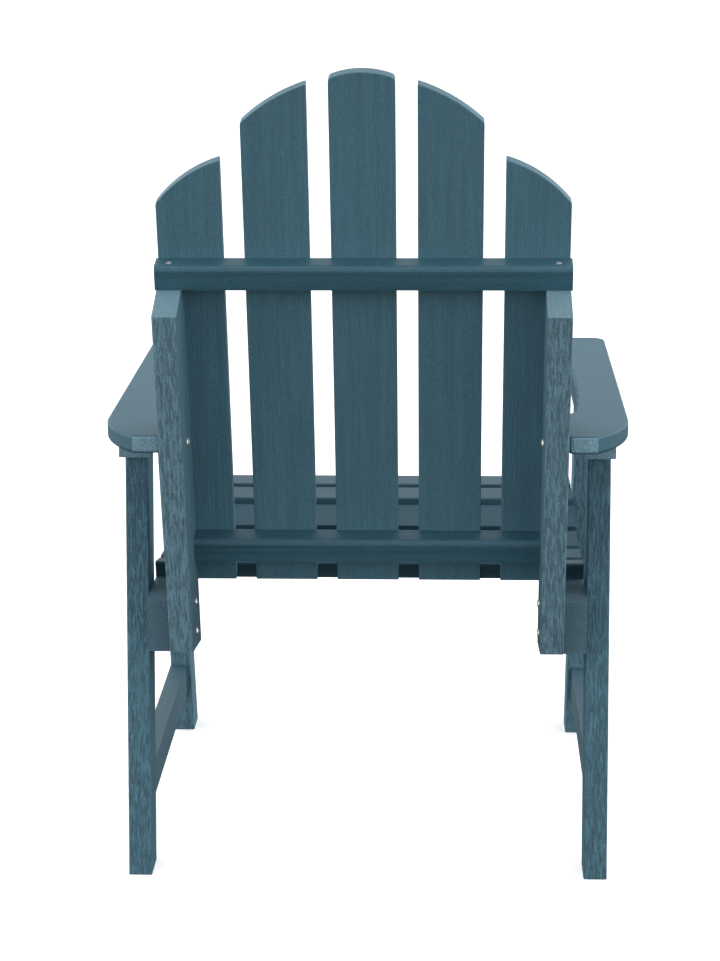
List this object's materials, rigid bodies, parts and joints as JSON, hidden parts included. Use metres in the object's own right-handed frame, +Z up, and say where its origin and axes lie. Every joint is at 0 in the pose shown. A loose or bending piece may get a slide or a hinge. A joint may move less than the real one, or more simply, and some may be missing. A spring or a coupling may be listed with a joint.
{
  "type": "deck armchair",
  "caption": "Upright deck armchair with a fan of leaning back slats, a dished slatted seat, splayed legs, flat arms and side stretchers, all of plastic lumber.",
  "frame": {"origin": "on the floor, under the middle of the chair's bounding box", "axes": "+Z up, +X towards the sitter's left, the sitter faces -Y and the back leans towards +Y"},
  "size_m": [0.6396, 0.6534, 1.0051],
  "materials": {
    "lumber": "matte embossed lumber grain",
    "dowel": "smooth",
    "steel": "satin"
  },
  "bodies": {
    "root": {"apron_screws": "steel", "arm_left": "lumber", "arm_rail_left": "lumber", "arm_rail_right": "lumber", "arm_rail_screws": "steel", "arm_right": "lumber", "arm_screws": "steel", "back_post_left": "lumber", "back_post_right": "lumber", "back_slat_1": "lumber", "back_slat_2": "lumber", "back_slat_3": "lumber", "back_slat_4": "lumber", "back_slat_5": "lumber", "back_slat_screws": "steel", "front_leg_left": "lumber", "front_leg_right": "lumber", "leg_screws": "steel", "lower_back_rail": "lumber", "lower_rail_screws": "steel", "post_arm_bolts": "steel", "post_seat_bolts": "steel", "rear_leg_left": "lumber", "rear_leg_right": "lumber", "seat_front_apron": "lumber", "seat_rail_left": "lumber", "seat_rail_right": "lumber", "seat_slat_1": "lumber", "seat_slat_2": "lumber", "seat_slat_3": "lumber", "seat_slat_4": "lumber", "seat_slat_5": "lumber", "seat_slat_6": "lumber", "seat_slat_screws": "steel", "side_stretcher_left": "lumber", "side_stretcher_right": "lumber", "stretcher_dowels": "dowel", "upper_back_rail": "lumber", "upper_rail_screws": "steel"}
  },
  "joints": []
}
